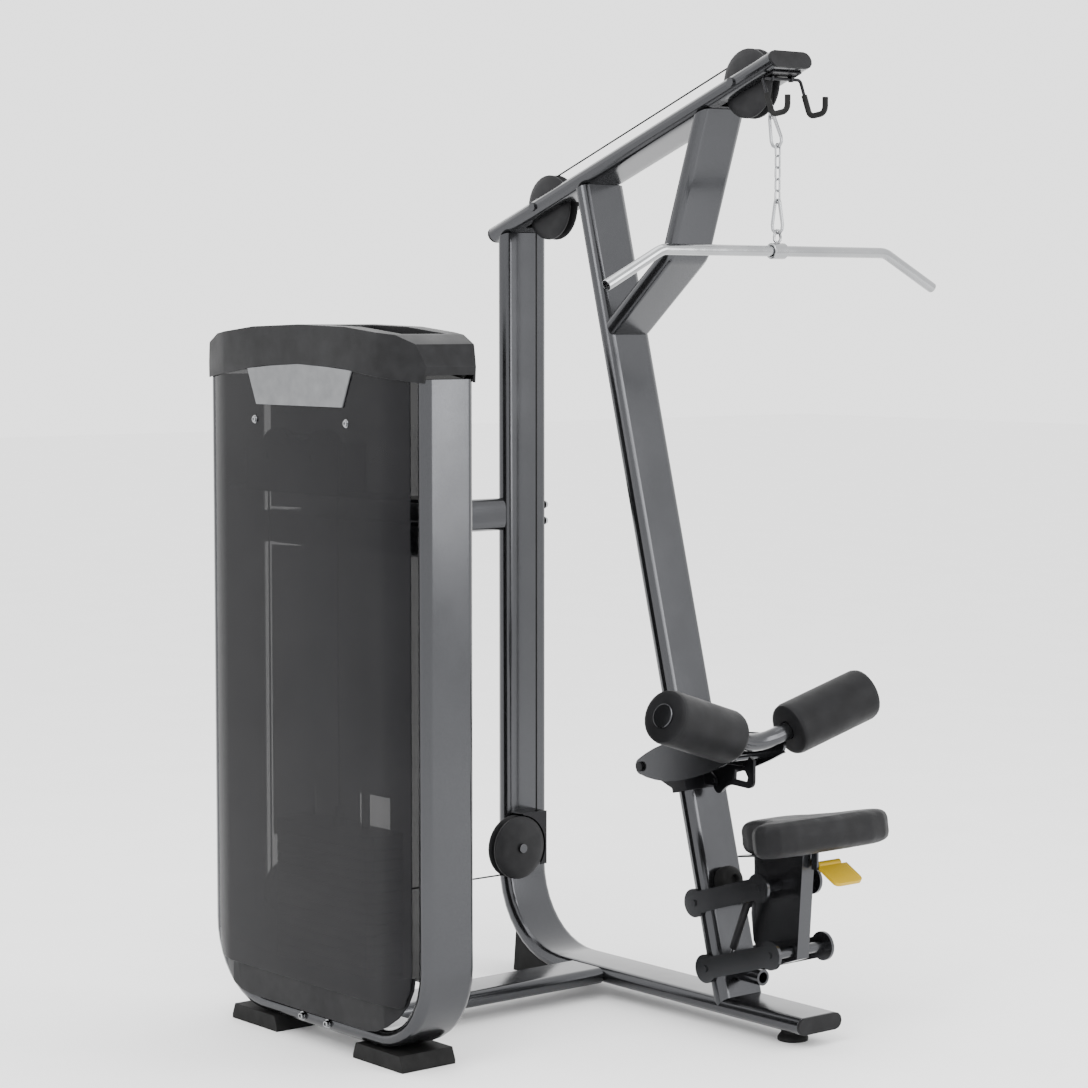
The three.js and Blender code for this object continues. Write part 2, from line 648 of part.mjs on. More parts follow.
const ANCHOR_TOP = headTop + 46;
const head = join(
  flatPlate(plateOutline, headBottom, headTop),
  rod(16, 24, 'z', [TOWER_X, TOWER_Y, headTop + 10], 6),
  rod(9, ANCHOR_TOP - headTop + 2, 'z', [TOWER_X, TOWER_Y, (headTop + ANCHOR_TOP) / 2 - 1], 16),
);
addMesh('stack_head_plate', cut(head, ...lifted.bores), IRON);

const plateBack = TOWER_Y + PLATE_D / 2;
addMesh('selector_pin', join(
  rod(PIN_R, 70, 'y', [TOWER_X, plateBack - 30, pinZ], 12),
  turned([[0, 2], [13, 2], [16, 6], [16, 22], [12, 28], [0, 28]], 'y', [TOWER_X, plateBack, pinZ], 20),
), STEEL);

const headerSide = 34;
const headerParts = [
  box(TOWER_X - legCentre + 26, TOWER_X + legCentre - 26, TOWER_Y - 40, TOWER_Y + 40, HEADER_Z, HEADER_Z + 8),
];
for (const side of [-1, 1]) {
  const y = TOWER_Y + side * (headerSide + 3);
  headerParts.push(box(CABLE_X - 30, TOWER_X + 60, y - 3, y + 3, HEADER_Z + 4, TOWER_PULLEY_Z + 34));
}
const towerPulleys = [CABLE_X + SMALL_R, TOWER_X - SMALL_R];
for (const x of towerPulleys) {
  headerParts.push(rod(AXLE_R, 2 * headerSide + 24, 'y', [x, TOWER_Y, TOWER_PULLEY_Z], 16));
}
const headerHoles = [CABLE_X, TOWER_X].map((x) => rod(14, 60, 'z', [x, TOWER_Y, HEADER_Z], 16));
addMesh('tower_pulley_header', cut(join(...headerParts), ...headerHoles), BLACK_METAL);

// ---------- pulleys ----------
function pulleyProfile(cableRadius, rim, face) {
  const half = [
    [AXLE_R + 0.6, PULLEY_HALF],
    [face, PULLEY_HALF],
    [rim, 14],
    [rim, 9],
    [cableRadius - CABLE_R - 0.6, 2.8],
  ];
  const mirrored = half.map(([r, along]) => [r, -along]).reverse();
  return [...half, ...mirrored, half[0]];
}
const largePulley = pulleyProfile(PULLEY_R, PULLEY_RIM, PULLEY_FACE);
const smallPulley = pulleyProfile(SMALL_R, SMALL_RIM, SMALL_FACE);
addMesh('pulley_arm_rear', turned(largePulley, 'y', REAR_AXLE, 32), PLASTIC);
addMesh('pulley_arm_front', turned(largePulley, 'y', FRONT_AXLE, 32), PLASTIC);
addMesh('pulley_column', turned(largePulley, 'x', COLUMN_PULLEY, 32), PLASTIC);
addMesh('pulley_tower_low', turned(smallPulley, 'x', LOW_PULLEY, 24), PLASTIC);
addMesh('pulley_tower_left', turned(smallPulley, 'y', [towerPulleys[0], TOWER_Y, TOWER_PULLEY_Z], 24), PLASTIC);
addMesh('pulley_tower_right', turned(smallPulley, 'y', [towerPulleys[1], TOWER_Y, TOWER_PULLEY_Z], 24), PLASTIC);

// A guard stands round the column pulley's running side, clear of its rim.
const columnFace = COLUMN_X + TUBE_T / 2 + GAP;
const guardFront = COLUMN_PULLEY[0] + 16;
const guardTop = COLUMN_PULLEY[2] + PULLEY_RIM + 6;
const guardBottom = COLUMN_PULLEY[2] - 50;
const guardSide = COLUMN_PULLEY[1] + PULLEY_RIM + 7;
const guard = join(
  box(guardFront - 3, guardFront, -55, guardSide, guardBottom, guardTop),
  box(columnFace, guardFront, guardSide - 3, guardSide, guardBottom, guardTop),
  box(columnFace, guardFront, -55, guardSide, guardTop - 3, guardTop),
);
addMesh('column_pulley_guard', cut(
  guard,
  rod(PULLEY_RIM + 2.5, 120, 'x', [guardFront, COLUMN_PULLEY[1], COLUMN_PULLEY[2]], 40),
  rod(6, 40, 'z', [CABLE_X, 0, guardTop], 12),
), GUNMETAL);

// ---------- cable ----------
const cableSection = circle(CABLE_R, 8);
const armRun = onArm(REAR_AXLE[0], PULLEY_R);
const armRunEnd = onArm(FRONT_AXLE[0], PULLEY_R);
const cableFrontX = FRONT_AXLE[0] + PULLEY_R;
const runHeight = (x) => armRun[2] + ((x - armRun[0]) * (armRunEnd[2] - armRun[2])) / (armRunEnd[0] - armRun[0]);
const towerTopZ = TOWER_PULLEY_Z + SMALL_R;
addMesh('cable_main_run', sweep(cableSection, [
  [TOWER_X, TOWER_Y, TOWER_PULLEY_Z],
  [TOWER_X, TOWER_Y, towerTopZ],
  [CABLE_X, TOWER_Y, towerTopZ],
  [CABLE_X, TOWER_Y, LOW_PULLEY[2] - SMALL_R],
  [CABLE_X, 0, LOW_PULLEY[2] - SMALL_R],
  [CABLE_X, 0, runHeight(CABLE_X)],
  [cableFrontX, 0, runHeight(cableFrontX)],
  [cableFrontX, 0, FRONT_AXLE[2]],
], { radius: [SMALL_R, SMALL_R, SMALL_R, PULLEY_R, PULLEY_R, PULLEY_R], stepDegrees: 10, side: null }), RUBBER);
const stackRun = TOWER_PULLEY_Z - GAP - (ANCHOR_TOP + GAP);
addMesh('cable_stack_run', rod(CABLE_R, stackRun, 'z', [TOWER_X, TOWER_Y, ANCHOR_TOP + GAP + stackRun / 2], 8), RUBBER);

// ---------- lat bar and what it hangs from ----------
// A ring cut from plate, standing in the XZ or YZ plane on the point given. Its foot and head
// are half circles of the radii given, joined by straight sides.
function ring({ length, foot, head, wire }, plane, [x, y, z]) {
  const outline = (inset) => barOutline([0, foot], [0, length - head], foot - inset, head - inset, 5);
  const shape = shapeFrom(outline(0));
  shape.holes.push(new THREE.Path(shapeFrom(outline(wire)).getPoints()));
  const geometry = sidePlate(shape, -wire / 2, wire / 2);
  if (plane === 'yz') {
    geometry.rotateZ(Math.PI / 2);
  }
  return geometry.translate(x, y, z);
}

// Each ring's wire runs through the next ring with this much room.
const RING_GAP = 3;
const CARABINER = { length: 83, foot: 20, head: 11, wire: 6 };
const CHAIN_LINK = { length: 33, foot: 8.5, head: 8.5, wire: 3.6 };
const HUB_EYE = { length: 34, foot: 13, head: 10, wire: 5 };
const CABLE_EYE = { length: 22, foot: 9.5, head: 6, wire: 3 };
const CHAIN_LINKS = 5;
const hangX = cableFrontX + 22;

const HUB_R = 18.5;
const hubEyeTop = BAR_Z + HUB_R + 32;
addMesh('bar_hub', join(
  turned([
    [BAR_R + 0.6, -21], [HUB_R - 2, -21], [HUB_R, -19], [HUB_R, 19], [HUB_R - 2, 21],
    [BAR_R + 0.6, 21], [BAR_R + 0.6, -21],
  ], 'y', [hangX, 0, BAR_Z], 24),
  ring(HUB_EYE, 'yz', [hangX, 0, hubEyeTop - HUB_EYE.length]),
), STEEL);

const lowerRing = hubEyeTop - HUB_EYE.wire - RING_GAP - CARABINER.wire;
addMesh('carabiner_lower', ring(CARABINER, 'xz', [hangX, 0, lowerRing]), STEEL);

// Neighbouring chain links overlap a little, so that the chain is one piece.
const chainPitch = CHAIN_LINK.length - 2 * CHAIN_LINK.wire + 0.6;
const chainBottom = lowerRing + CARABINER.length - CARABINER.wire - RING_GAP - CHAIN_LINK.wire;
const chainLinks = [];
for (let i = 0; i < CHAIN_LINKS; i += 1) {
  chainLinks.push(ring(CHAIN_LINK, i % 2 ? 'xz' : 'yz', [hangX, 0, chainBottom + i * chainPitch]));
}
addMesh('chain', join(...chainLinks), STEEL);

// The upper carabiner leans from the cable's end out to the chain.
const chainTop = chainBottom + (CHAIN_LINKS - 1) * chainPitch + CHAIN_LINK.length;
const upperFoot = chainTop - CHAIN_LINK.wire - RING_GAP - CARABINER.wire / 2 - 0.5;
const carabinerReach = CARABINER.length - CARABINER.wire;
const carabinerLean = Math.asin((hangX - cableFrontX) / carabinerReach);
const upperCarabiner = ring(CARABINER, 'xz', [0, 0, -CARABINER.wire / 2]);
upperCarabiner.rotateY(-carabinerLean).translate(hangX, 0, upperFoot);
addMesh('carabiner_upper', upperCarabiner, STEEL);

const upperHead = upperFoot + carabinerReach * Math.cos(carabinerLean);
const HEAD_GAP = 4.5;
const cableEye = upperHead - CARABINER.wire / 2 - HEAD_GAP - CABLE_EYE.wire;
const ferruleTop = cableEye + CABLE_EYE.length + 11;
addMesh('cable_end_eye', join(
  ring(CABLE_EYE, 'yz', [cableFrontX, 0, cableEye]),
  rod(5.5, 14, 'z', [cableFrontX, 0, ferruleTop - 7], 16),
), STEEL);
const barRun = FRONT_AXLE[2] - GAP - (ferruleTop + GAP);
addMesh('cable_bar_run', rod(CABLE_R, barRun, 'z', [cableFrontX, 0, ferruleTop + GAP + barRun / 2], 8), RUBBER);

const BAR_STRAIGHT = 350;
const BAR_REACH = 513;
const BAR_DROP = 81;
addMesh('lat_bar', sweep(circle(BAR_R, 16), [
  [hangX, -BAR_REACH, BAR_Z - BAR_DROP],
  [hangX, -BAR_STRAIGHT, BAR_Z],
  [hangX, BAR_STRAIGHT, BAR_Z],
  [hangX, BAR_REACH, BAR_Z - BAR_DROP],
], { radius: 60, side: SIDE_X }), STEEL);

// ---------- hooks that hold the bar ----------
const HOOK_Y = 59;
const HOOK_X = 254;
const HOOK_Z = onArm(HOOK_X)[2] - TUBE_T / 2 / Math.cos(armSlope) - 10;
const HOOK_R = 4;
const hookBend = [
  [HOOK_X, HOOK_Z],
  [HOOK_X + 33, HOOK_Z - 84],
  [HOOK_X + 82, HOOK_Z - 78],
  [HOOK_X + 82, HOOK_Z - 42],
];
const hookPath = (side) => hookBend.map(([x, z]) => [x, side * HOOK_Y, z]);
const rackRod = sweep(circle(HOOK_R, 8), [
  ...hookPath(-1).reverse(),
  ...hookPath(1),
], { radius: [17, 17, 8, 8, 17, 17], stepDegrees: 22, side: null });
const rackPlate = box(-20, 14, -44, 44, -TUBE_T / 2 - GAP - 4, -TUBE_T / 2 - GAP);
rackPlate.rotateY(-armSlope).translate(...onArm(HOOK_X));
const rackLugs = [-30, 30].map((y) => box(HOOK_X - 6, HOOK_X + 6, y - 3, y + 3, HOOK_Z - 6, HOOK_Z + 6));
addMesh('bar_hook_rack', join(rackRod, rackPlate, ...rackLugs), STEEL);

// Rubber sleeves over the hooks' curved ends.
function sleeve(side) {
  const from = 0.42;
  const start = [
    HOOK_X + from * 33,
    side * HOOK_Y,
    HOOK_Z - from * 84,
  ];
  const path = [start, ...hookPath(side).slice(1)];
  const outer = sweep(circle(6.8, 10), path, { radius: 17, stepDegrees: 22 });
  const inner = sweep(circle(HOOK_R + 0.8, 8), [
    ...hookPath(side).slice(0, 3),
    [HOOK_X + 82, side * HOOK_Y, HOOK_Z - 30],
  ], { radius: 17, stepDegrees: 22 });
  return cut(outer, inner);
}
addMesh('hook_sleeve_left', sleeve(-1), RUBBER);
addMesh('hook_sleeve_right', sleeve(1), RUBBER);

// ---------- thigh rollers ----------
const [pivotX, , pivotZ] = THIGH_PIVOT;
const [vertexX, , vertexZ] = THIGH_VERTEX;
const leafOutline = barOutline([pivotX, pivotZ], [vertexX - 6, vertexZ - 3], 20, 24, 8);
const leafBelly = new THREE.Shape();
leafBelly.moveTo(pivotX - 8, pivotZ - 18);
leafBelly.quadraticCurveTo(pivotX + 120, pivotZ - 52, vertexX + 16, vertexZ - 22);
leafBelly.lineTo(vertexX - 16, vertexZ + 18);
leafBelly.quadraticCurveTo(pivotX + 110, pivotZ + 100, pivotX - 12, pivotZ + 16);
leafBelly.closePath();
const leafPoints = leafBelly.getPoints(9).slice(0, -1).map((point) => [point.x, point.y]);

const rollerTop = Math.tan(ROLLER_TILT);
const rollerOut = Math.tan(ROLLER_SWEEP);
function rollerAxis(side) {
  return new THREE.Vector3(rollerOut, side, rollerTop).normalize();
}
function alongRoller(side, distance) {
  const axis = rollerAxis(side).multiplyScalar(distance);
  return [vertexX + axis.x, axis.y, vertexZ + axis.z];
}
const veeEnd = ROLLER_START + ROLLER_LENGTH - 8;
const veeTube = sweep(circle(VEE_R, 16), [
  alongRoller(-1, veeEnd),
  THIGH_VERTEX,
  alongRoller(1, veeEnd),
], { radius: 170, stepDegrees: 8, side: null });
const leaves = [-1, 1].flatMap((side) => {
  const [inner, outer] = [side * (THIGH_FACE - THIGH_PLATE), side * THIGH_FACE].sort((a, b) => a - b);
  return [sidePlate(leafPoints, inner, outer), sidePlate(leafOutline, inner, outer)];
});
// A turned piece along one roller's axis; distances are counted from the vee's corner.
function onRoller(profile, side, sides) {
  const geometry = turned(profile, 'y', [0, 0, 0], sides);
  const turn = new THREE.Quaternion();
  turn.setFromUnitVectors(new THREE.Vector3(0, 1, 0), rollerAxis(side));
  return geometry.applyQuaternion(turn).translate(...THIGH_VERTEX);
}
const rollerEnd = ROLLER_START + ROLLER_LENGTH;
const BORE = VEE_R + 1;
const rollerCaps = [-1, 1].map((side) => onRoller([
  [0, rollerEnd - 12], [BORE - 1.5, rollerEnd - 12], [BORE - 1.5, rollerEnd + GAP], [28, rollerEnd + GAP],
  [28, rollerEnd + 4], [25, rollerEnd + 6], [0, rollerEnd + 6],
], side, 24));
addMesh('thigh_arm', cut(
  join(veeTube, ...leaves, ...rollerCaps, rod(7, 2 * THIGH_FACE - 4, 'y', [vertexX - 60, 0, vertexZ - 36], 12)),
  rod(AXLE_R + 0.6, 400, 'y', THIGH_PIVOT, 20),
), GUNMETAL);
for (const [side, name] of [[-1, 'left'], [1, 'right']]) {
  addMesh(`thigh_roller_${name}`, onRoller([
    [BORE, ROLLER_START], [ROLLER_R - 12, ROLLER_START], [ROLLER_R - 3, ROLLER_START + 4],
    [ROLLER_R, ROLLER_START + 14], [ROLLER_R, rollerEnd - 14], [ROLLER_R - 3, rollerEnd - 4],
    [ROLLER_R - 12, rollerEnd], [BORE, rollerEnd], [BORE, ROLLER_START],
  ], side, 28), VINYL);
}

// Saddle on the mast that carries the thigh pivot behind and the latch in front.
const SADDLE_LOW = 545;
const SADDLE_HIGH = 630;
const saddleMid = (SADDLE_LOW + SADDLE_HIGH) / 2;
function saddleBox(forward0, forward1, y0, y1, half) {
  const height = half ?? (SADDLE_HIGH - SADDLE_LOW) / 2;
  const geometry = box(forward0, forward1, y0, y1, -height, height);
  return geometry.rotateY(-MAST_LEAN).translate(...onMast(saddleMid));
}
const saddleBack = -TUBE_T / 2 - GAP;
const saddleSide = TUBE_W / 2 + GAP + 3.5;
const saddleLugs = [-1, 1].map((side) => {
  const [y0, y1] = [side * 50, side * 58].sort((a, b) => a - b);
  const [backX, , backZ] = onMast(saddleMid, saddleBack - 3);
  return sidePlate(barOutline([pivotX, pivotZ], [backX, backZ], 15, 36, 8), y0, y1);
});
const latchPin = [52, 0, 573];
const latchLugs = [-1, 1].map((side) => {
  const [y0, y1] = [side * 7, side * 12].sort((a, b) => a - b);
  const [x, , z] = onMast(latchPin[2] + 4, TUBE_T / 2 + GAP + 4);
  return sidePlate(barOutline([latchPin[0], latchPin[2]], [x, z], 11, 22, 8), y0, y1);
});
const mastRoom = saddleBox(saddleBack, -saddleBack, -TUBE_W / 2 - GAP, TUBE_W / 2 + GAP, 60);
addMesh('thigh_pad_bracket', join(
  cut(
    join(saddleBox(saddleBack - 5, -saddleBack + 4, -saddleSide, saddleSide), ...saddleLugs, ...latchLugs),
    mastRoom,
  ),
  rod(AXLE_R, 2 * THIGH_FACE + 6, 'y', THIGH_PIVOT, 16),
  rod(12, 6, 'y', [pivotX, -THIGH_FACE - 4, pivotZ], 12),
  rod(12, 6, 'y', [pivotX, THIGH_FACE + 4, pivotZ], 12),
  rod(5, 30, 'y', latchPin, 12),
), GUNMETAL);

// Release handle: a hooked plate with a finger loop, turning on the latch pin.
const [lx, , lz] = latchPin;
const handle = new THREE.Shape();
handle.moveTo(lx - 10, lz - 18);
handle.quadraticCurveTo(lx + 2, lz - 36, lx + 16, lz - 26);
handle.quadraticCurveTo(lx + 36, lz - 4, lx + 58, lz - 4);
handle.lineTo(lx + 108, lz - 6);
handle.quadraticCurveTo(lx + 127, lz - 4, lx + 127, lz + 14);
handle.lineTo(lx + 127, lz + 62);
handle.lineTo(lx + 112, lz + 70);
handle.lineTo(lx + 96, lz + 44);
handle.lineTo(lx + 46, lz + 44);
handle.quadraticCurveTo(lx + 4, lz + 40, lx - 10, lz + 14);
handle.closePath();
const fingerLoop = [[62, 10], [104, 8], [108, 20], [98, 34], [64, 34]];
const loopPoints = fingerLoop.map(([x, z]) => new THREE.Vector2(lx + x, lz + z));
const handlePlate = new THREE.ExtrudeGeometry(handle, { depth: 8, bevelEnabled: false, curveSegments: 5 });
handlePlate.rotateX(Math.PI / 2).translate(0, 4, 0);
const loopHole = sidePlate(new THREE.Shape(loopPoints), -20, 20);
addMesh('thigh_release_handle', cut(handlePlate, loopHole, rod(5.6, 60, 'y', latchPin, 16)), BLACK_METAL);

// ---------- seat linkage ----------
function reach([x, , z], angle = LINK_ANGLE) {
  return [x + LINK_LENGTH * Math.cos(angle), 0, z + LINK_LENGTH * Math.sin(angle)];
}
const upperSeatPivot = reach(upperPivot);
const lowerSeatPivot = reach(lowerPivot);

// Two link plates held apart by the shafts on which they turn.
function linkFrame(from, to) {
  const pieces = [];
  for (const side of [-1, 1]) {
    const [y0, y1] = [side * (LINK_FACE - LINK_PLATE), side * LINK_FACE].sort((a, b) => a - b);
    const outline = barOutline([from[0], from[2]], [to[0], to[2]], 25, 25, 8);
    pieces.push(sidePlate(outline, y0, y1));
    for (const end of [from, to]) {
      const middle = side * (LINK_FACE - LINK_PLATE / 2);
      pieces.push(rod(LINK_END_R, LINK_PLATE, 'y', [end[0], middle, end[2]], 28));
      pieces.push(rod(8, 5, 'y', [end[0], side * (LINK_FACE + 1), end[2]], 12));
    }
  }
  for (const end of [from, to]) {
    pieces.push(rod(PIVOT_R, 2 * LINK_FACE - 4, 'y', end, 20));
  }
  return join(...pieces);
}
addMesh('seat_link_upper', linkFrame(upperPivot, upperSeatPivot), GUNMETAL);
addMesh('seat_link_lower', linkFrame(lowerPivot, lowerSeatPivot), GUNMETAL);

const POST_HALF = 19;
const PAN_T = 5;
const seatAlong = [Math.cos(SEAT_TILT), 0, Math.sin(SEAT_TILT)];
const seatUp = [-Math.sin(SEAT_TILT), 0, Math.cos(SEAT_TILT)];
function onSeat(back, up) {
  return [
    SEAT_REAR[0] + back * seatAlong[0] + up * seatUp[0],
    0,
    SEAT_REAR[2] + back * seatAlong[2] + up * seatUp[2],
  ];
}
const panRear = onSeat(-62, -PAN_T);
const panNose = onSeat(-236, -PAN_T);
const postOutline = [
  [lowerSeatPivot[0] - 126, lowerSeatPivot[2] + 6],
  [lowerSeatPivot[0] - 114, lowerSeatPivot[2] - 12],
  [lowerSeatPivot[0] - 30, lowerSeatPivot[2] - 34],
  [lowerSeatPivot[0] + 20, lowerSeatPivot[2] - 16],
  [panRear[0] - 28, panRear[2] - 1],
  [panNose[0] - 20, panNose[2] - 1],
  [panNose[0] - 18, panNose[2] - 40],
  [lowerSeatPivot[0] - 134, lowerSeatPivot[2] + 70],
];
const seatPan = box(-240, -40, -85, 85, -PAN_T, -GAP).rotateY(-SEAT_TILT).translate(...SEAT_REAR);
const gasTop = [214, GAS_Y, 322];
const postBores = [upperSeatPivot, lowerSeatPivot].map((p, i) => rod(PIVOT_R + (i ? 1.5 : GAP), 200, 'y', p));
const leverAxle = [374, 0, 414];
addMesh('seat_post', join(
  cut(join(sidePlate(postOutline, -POST_HALF, POST_HALF), seatPan), ...postBores),
  rod(5, 40, 'y', [gasTop[0], -POST_HALF - 16, gasTop[2]], 12),
  box(leverAxle[0] - 9, leverAxle[0] + 9, 4, 10, leverAxle[2] - 9, leverAxle[2] + 36),
  rod(4, 30, 'y', [leverAxle[0], 19, leverAxle[2]], 12),
), GUNMETAL);

// Seat cushion: wide behind, waisted, with a narrow nose towards the mast.
// The outline is that of the flat top; the rounded edge adds its own width all round.
const CUSHION_EDGE = 20;
const cushionHalf = [
  [-10, 0], [-14, 118], [-20, 160], [-30, 178], [-42, 183], [-56, 176], [-76, 134], [-100, 96],
  [-142, 73], [-196, 68], [-222, 56], [-228, 30],
];
const mirrorHalf = cushionHalf.slice(1).map(([x, y]) => [x, -y]).reverse();
const cushion = new THREE.ExtrudeGeometry(shapeFrom([...cushionHalf, ...mirrorHalf]), {
  depth: 34,
  bevelEnabled: true,
  bevelSize: CUSHION_EDGE,
  bevelThickness: CUSHION_EDGE,
  bevelSegments: 3,
});
cushion.translate(0, 0, CUSHION_EDGE).rotateY(-SEAT_TILT).translate(...SEAT_REAR);
addMesh('seat_cushion', cushion, VINYL);

const paddle = new THREE.Shape();
paddle.moveTo(8, 0);
paddle.lineTo(64, 0);
paddle.quadraticCurveTo(74, 2, 74, 16);
paddle.lineTo(74, 72);
paddle.quadraticCurveTo(74, 86, 60, 88);
paddle.lineTo(8, 88);
paddle.closePath();
const paddlePlate = new THREE.ExtrudeGeometry(paddle, { depth: 9, bevelEnabled: false, curveSegments: 4 });
paddlePlate.translate(0, 12, -5).rotateY(THREE.MathUtils.degToRad(29));
paddlePlate.translate(leverAxle[0], 0, leverAxle[2]);
const leverHub = rod(9, 70, 'y', [leverAxle[0], 12 + 36, leverAxle[2]], 16);
addMesh('seat_release_lever', cut(
  join(paddlePlate, leverHub),
  rod(4.6, 60, 'y', [leverAxle[0], 10, leverAxle[2]], 12),
), YELLOW);

// ---------- gas spring ----------
const gasAngle = Math.atan2(gasTop[2] - gasFoot[2], gasTop[0] - gasFoot[0]);
const gasLength = Math.hypot(gasTop[0] - gasFoot[0], gasTop[2] - gasFoot[2]);
const GAS_R = 9;
const GAS_ROD_R = 4;
const GAS_BODY = 128;
function onGas(geometry) {
  return geometry.rotateY(Math.PI / 2 - gasAngle).translate(...gasFoot);
}
// The rod's own axis is local Z before it is leaned over.
addMesh('gas_spring_rod', cut(
  join(
    onGas(rod(GAS_ROD_R, gasLength - 60, 'z', [0, 0, (gasLength - 60) / 2 + 8], 12)),
    rod(9, 12, 'y', gasFoot, 16),
  ),
  rod(GAS_PIN_R + GAP, 40, 'y', gasFoot, 12),
), STEEL);
addMesh('gas_spring_body', cut(
  join(
    onGas(rod(GAS_R, GAS_BODY, 'z', [0, 0, gasLength - 9 - GAS_BODY / 2], 16)),
    rod(13, 12, 'y', gasTop, 16),
  ),
  rod(8, 40, 'y', gasTop, 16),
  onGas(rod(GAS_ROD_R + 0.6, GAS_BODY, 'z', [0, 0, gasLength - 24 - GAS_BODY / 2], 12)),
), BLACK_METAL);

// ---------- stops on the mast ----------
const bumperSeat = onMast(LINK_UPPER_Z + 38, TUBE_T / 2 + GAP);
const bumper = turned([
  [0, 0], [32, 0], [34, 6], [34, 24], [30, 34], [22, 39], [12, 40], [10, 30], [0, 30],
], 'z', [0, 0, 0], 24);
bumper.rotateY(Math.PI / 2 - MAST_LEAN).translate(...bumperSeat);
addMesh('seat_bump_stop', bumper, RUBBER);

// The group's origin goes to the middle of its box, on the floor.
machine.updateMatrixWorld(true);
const bounds = new THREE.Box3().setFromObject(machine);
const centre = bounds.getCenter(new THREE.Vector3());
machine.position.set(-centre.x, -centre.y, -bounds.min.z);

export default machine;
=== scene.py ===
"""Looks for the lat pulldown machine: materials, upholstery, small fittings, light and camera."""

import json
from math import cos, radians, sin, tau

import bmesh
import bpy
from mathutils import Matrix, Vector


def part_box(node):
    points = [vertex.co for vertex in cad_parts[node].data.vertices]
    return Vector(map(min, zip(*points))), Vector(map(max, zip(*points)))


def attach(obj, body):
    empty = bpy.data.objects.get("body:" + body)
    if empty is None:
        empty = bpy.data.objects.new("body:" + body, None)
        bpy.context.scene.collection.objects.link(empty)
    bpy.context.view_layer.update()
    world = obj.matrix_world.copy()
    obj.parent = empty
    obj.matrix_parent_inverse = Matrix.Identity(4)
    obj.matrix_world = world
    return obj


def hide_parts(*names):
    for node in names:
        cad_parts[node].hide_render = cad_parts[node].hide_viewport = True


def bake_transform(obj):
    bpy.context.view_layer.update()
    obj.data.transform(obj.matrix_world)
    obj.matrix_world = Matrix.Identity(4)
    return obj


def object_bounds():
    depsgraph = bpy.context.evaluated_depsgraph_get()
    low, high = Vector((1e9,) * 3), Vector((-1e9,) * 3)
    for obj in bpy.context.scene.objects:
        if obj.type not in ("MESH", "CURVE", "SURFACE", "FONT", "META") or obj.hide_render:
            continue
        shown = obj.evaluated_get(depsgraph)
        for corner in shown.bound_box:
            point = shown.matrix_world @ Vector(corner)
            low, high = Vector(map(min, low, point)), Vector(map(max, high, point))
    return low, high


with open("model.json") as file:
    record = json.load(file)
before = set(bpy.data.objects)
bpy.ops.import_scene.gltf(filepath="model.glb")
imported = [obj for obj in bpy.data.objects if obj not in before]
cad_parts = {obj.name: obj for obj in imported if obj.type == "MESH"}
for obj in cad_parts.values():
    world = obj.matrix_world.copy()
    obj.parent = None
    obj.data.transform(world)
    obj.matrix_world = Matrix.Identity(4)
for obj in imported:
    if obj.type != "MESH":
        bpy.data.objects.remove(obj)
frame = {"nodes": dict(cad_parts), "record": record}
CAD_LOW, CAD_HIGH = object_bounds()
nodes = frame["nodes"]

# The machine's own centre line: y in the middle of the seat, x measured from the beam's capped end.
BEAM_LENGTH = 0.4023
seat_low, seat_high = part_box("seat_cushion")
beam_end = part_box("base_end_cap")[1].x
ORIGIN = Vector((beam_end - BEAM_LENGTH, (seat_low.y + seat_high.y) / 2, 0))


def at(x, y, z):
    """A point given from the machine's centre line, in metres."""
    return ORIGIN + Vector((x, y, z))


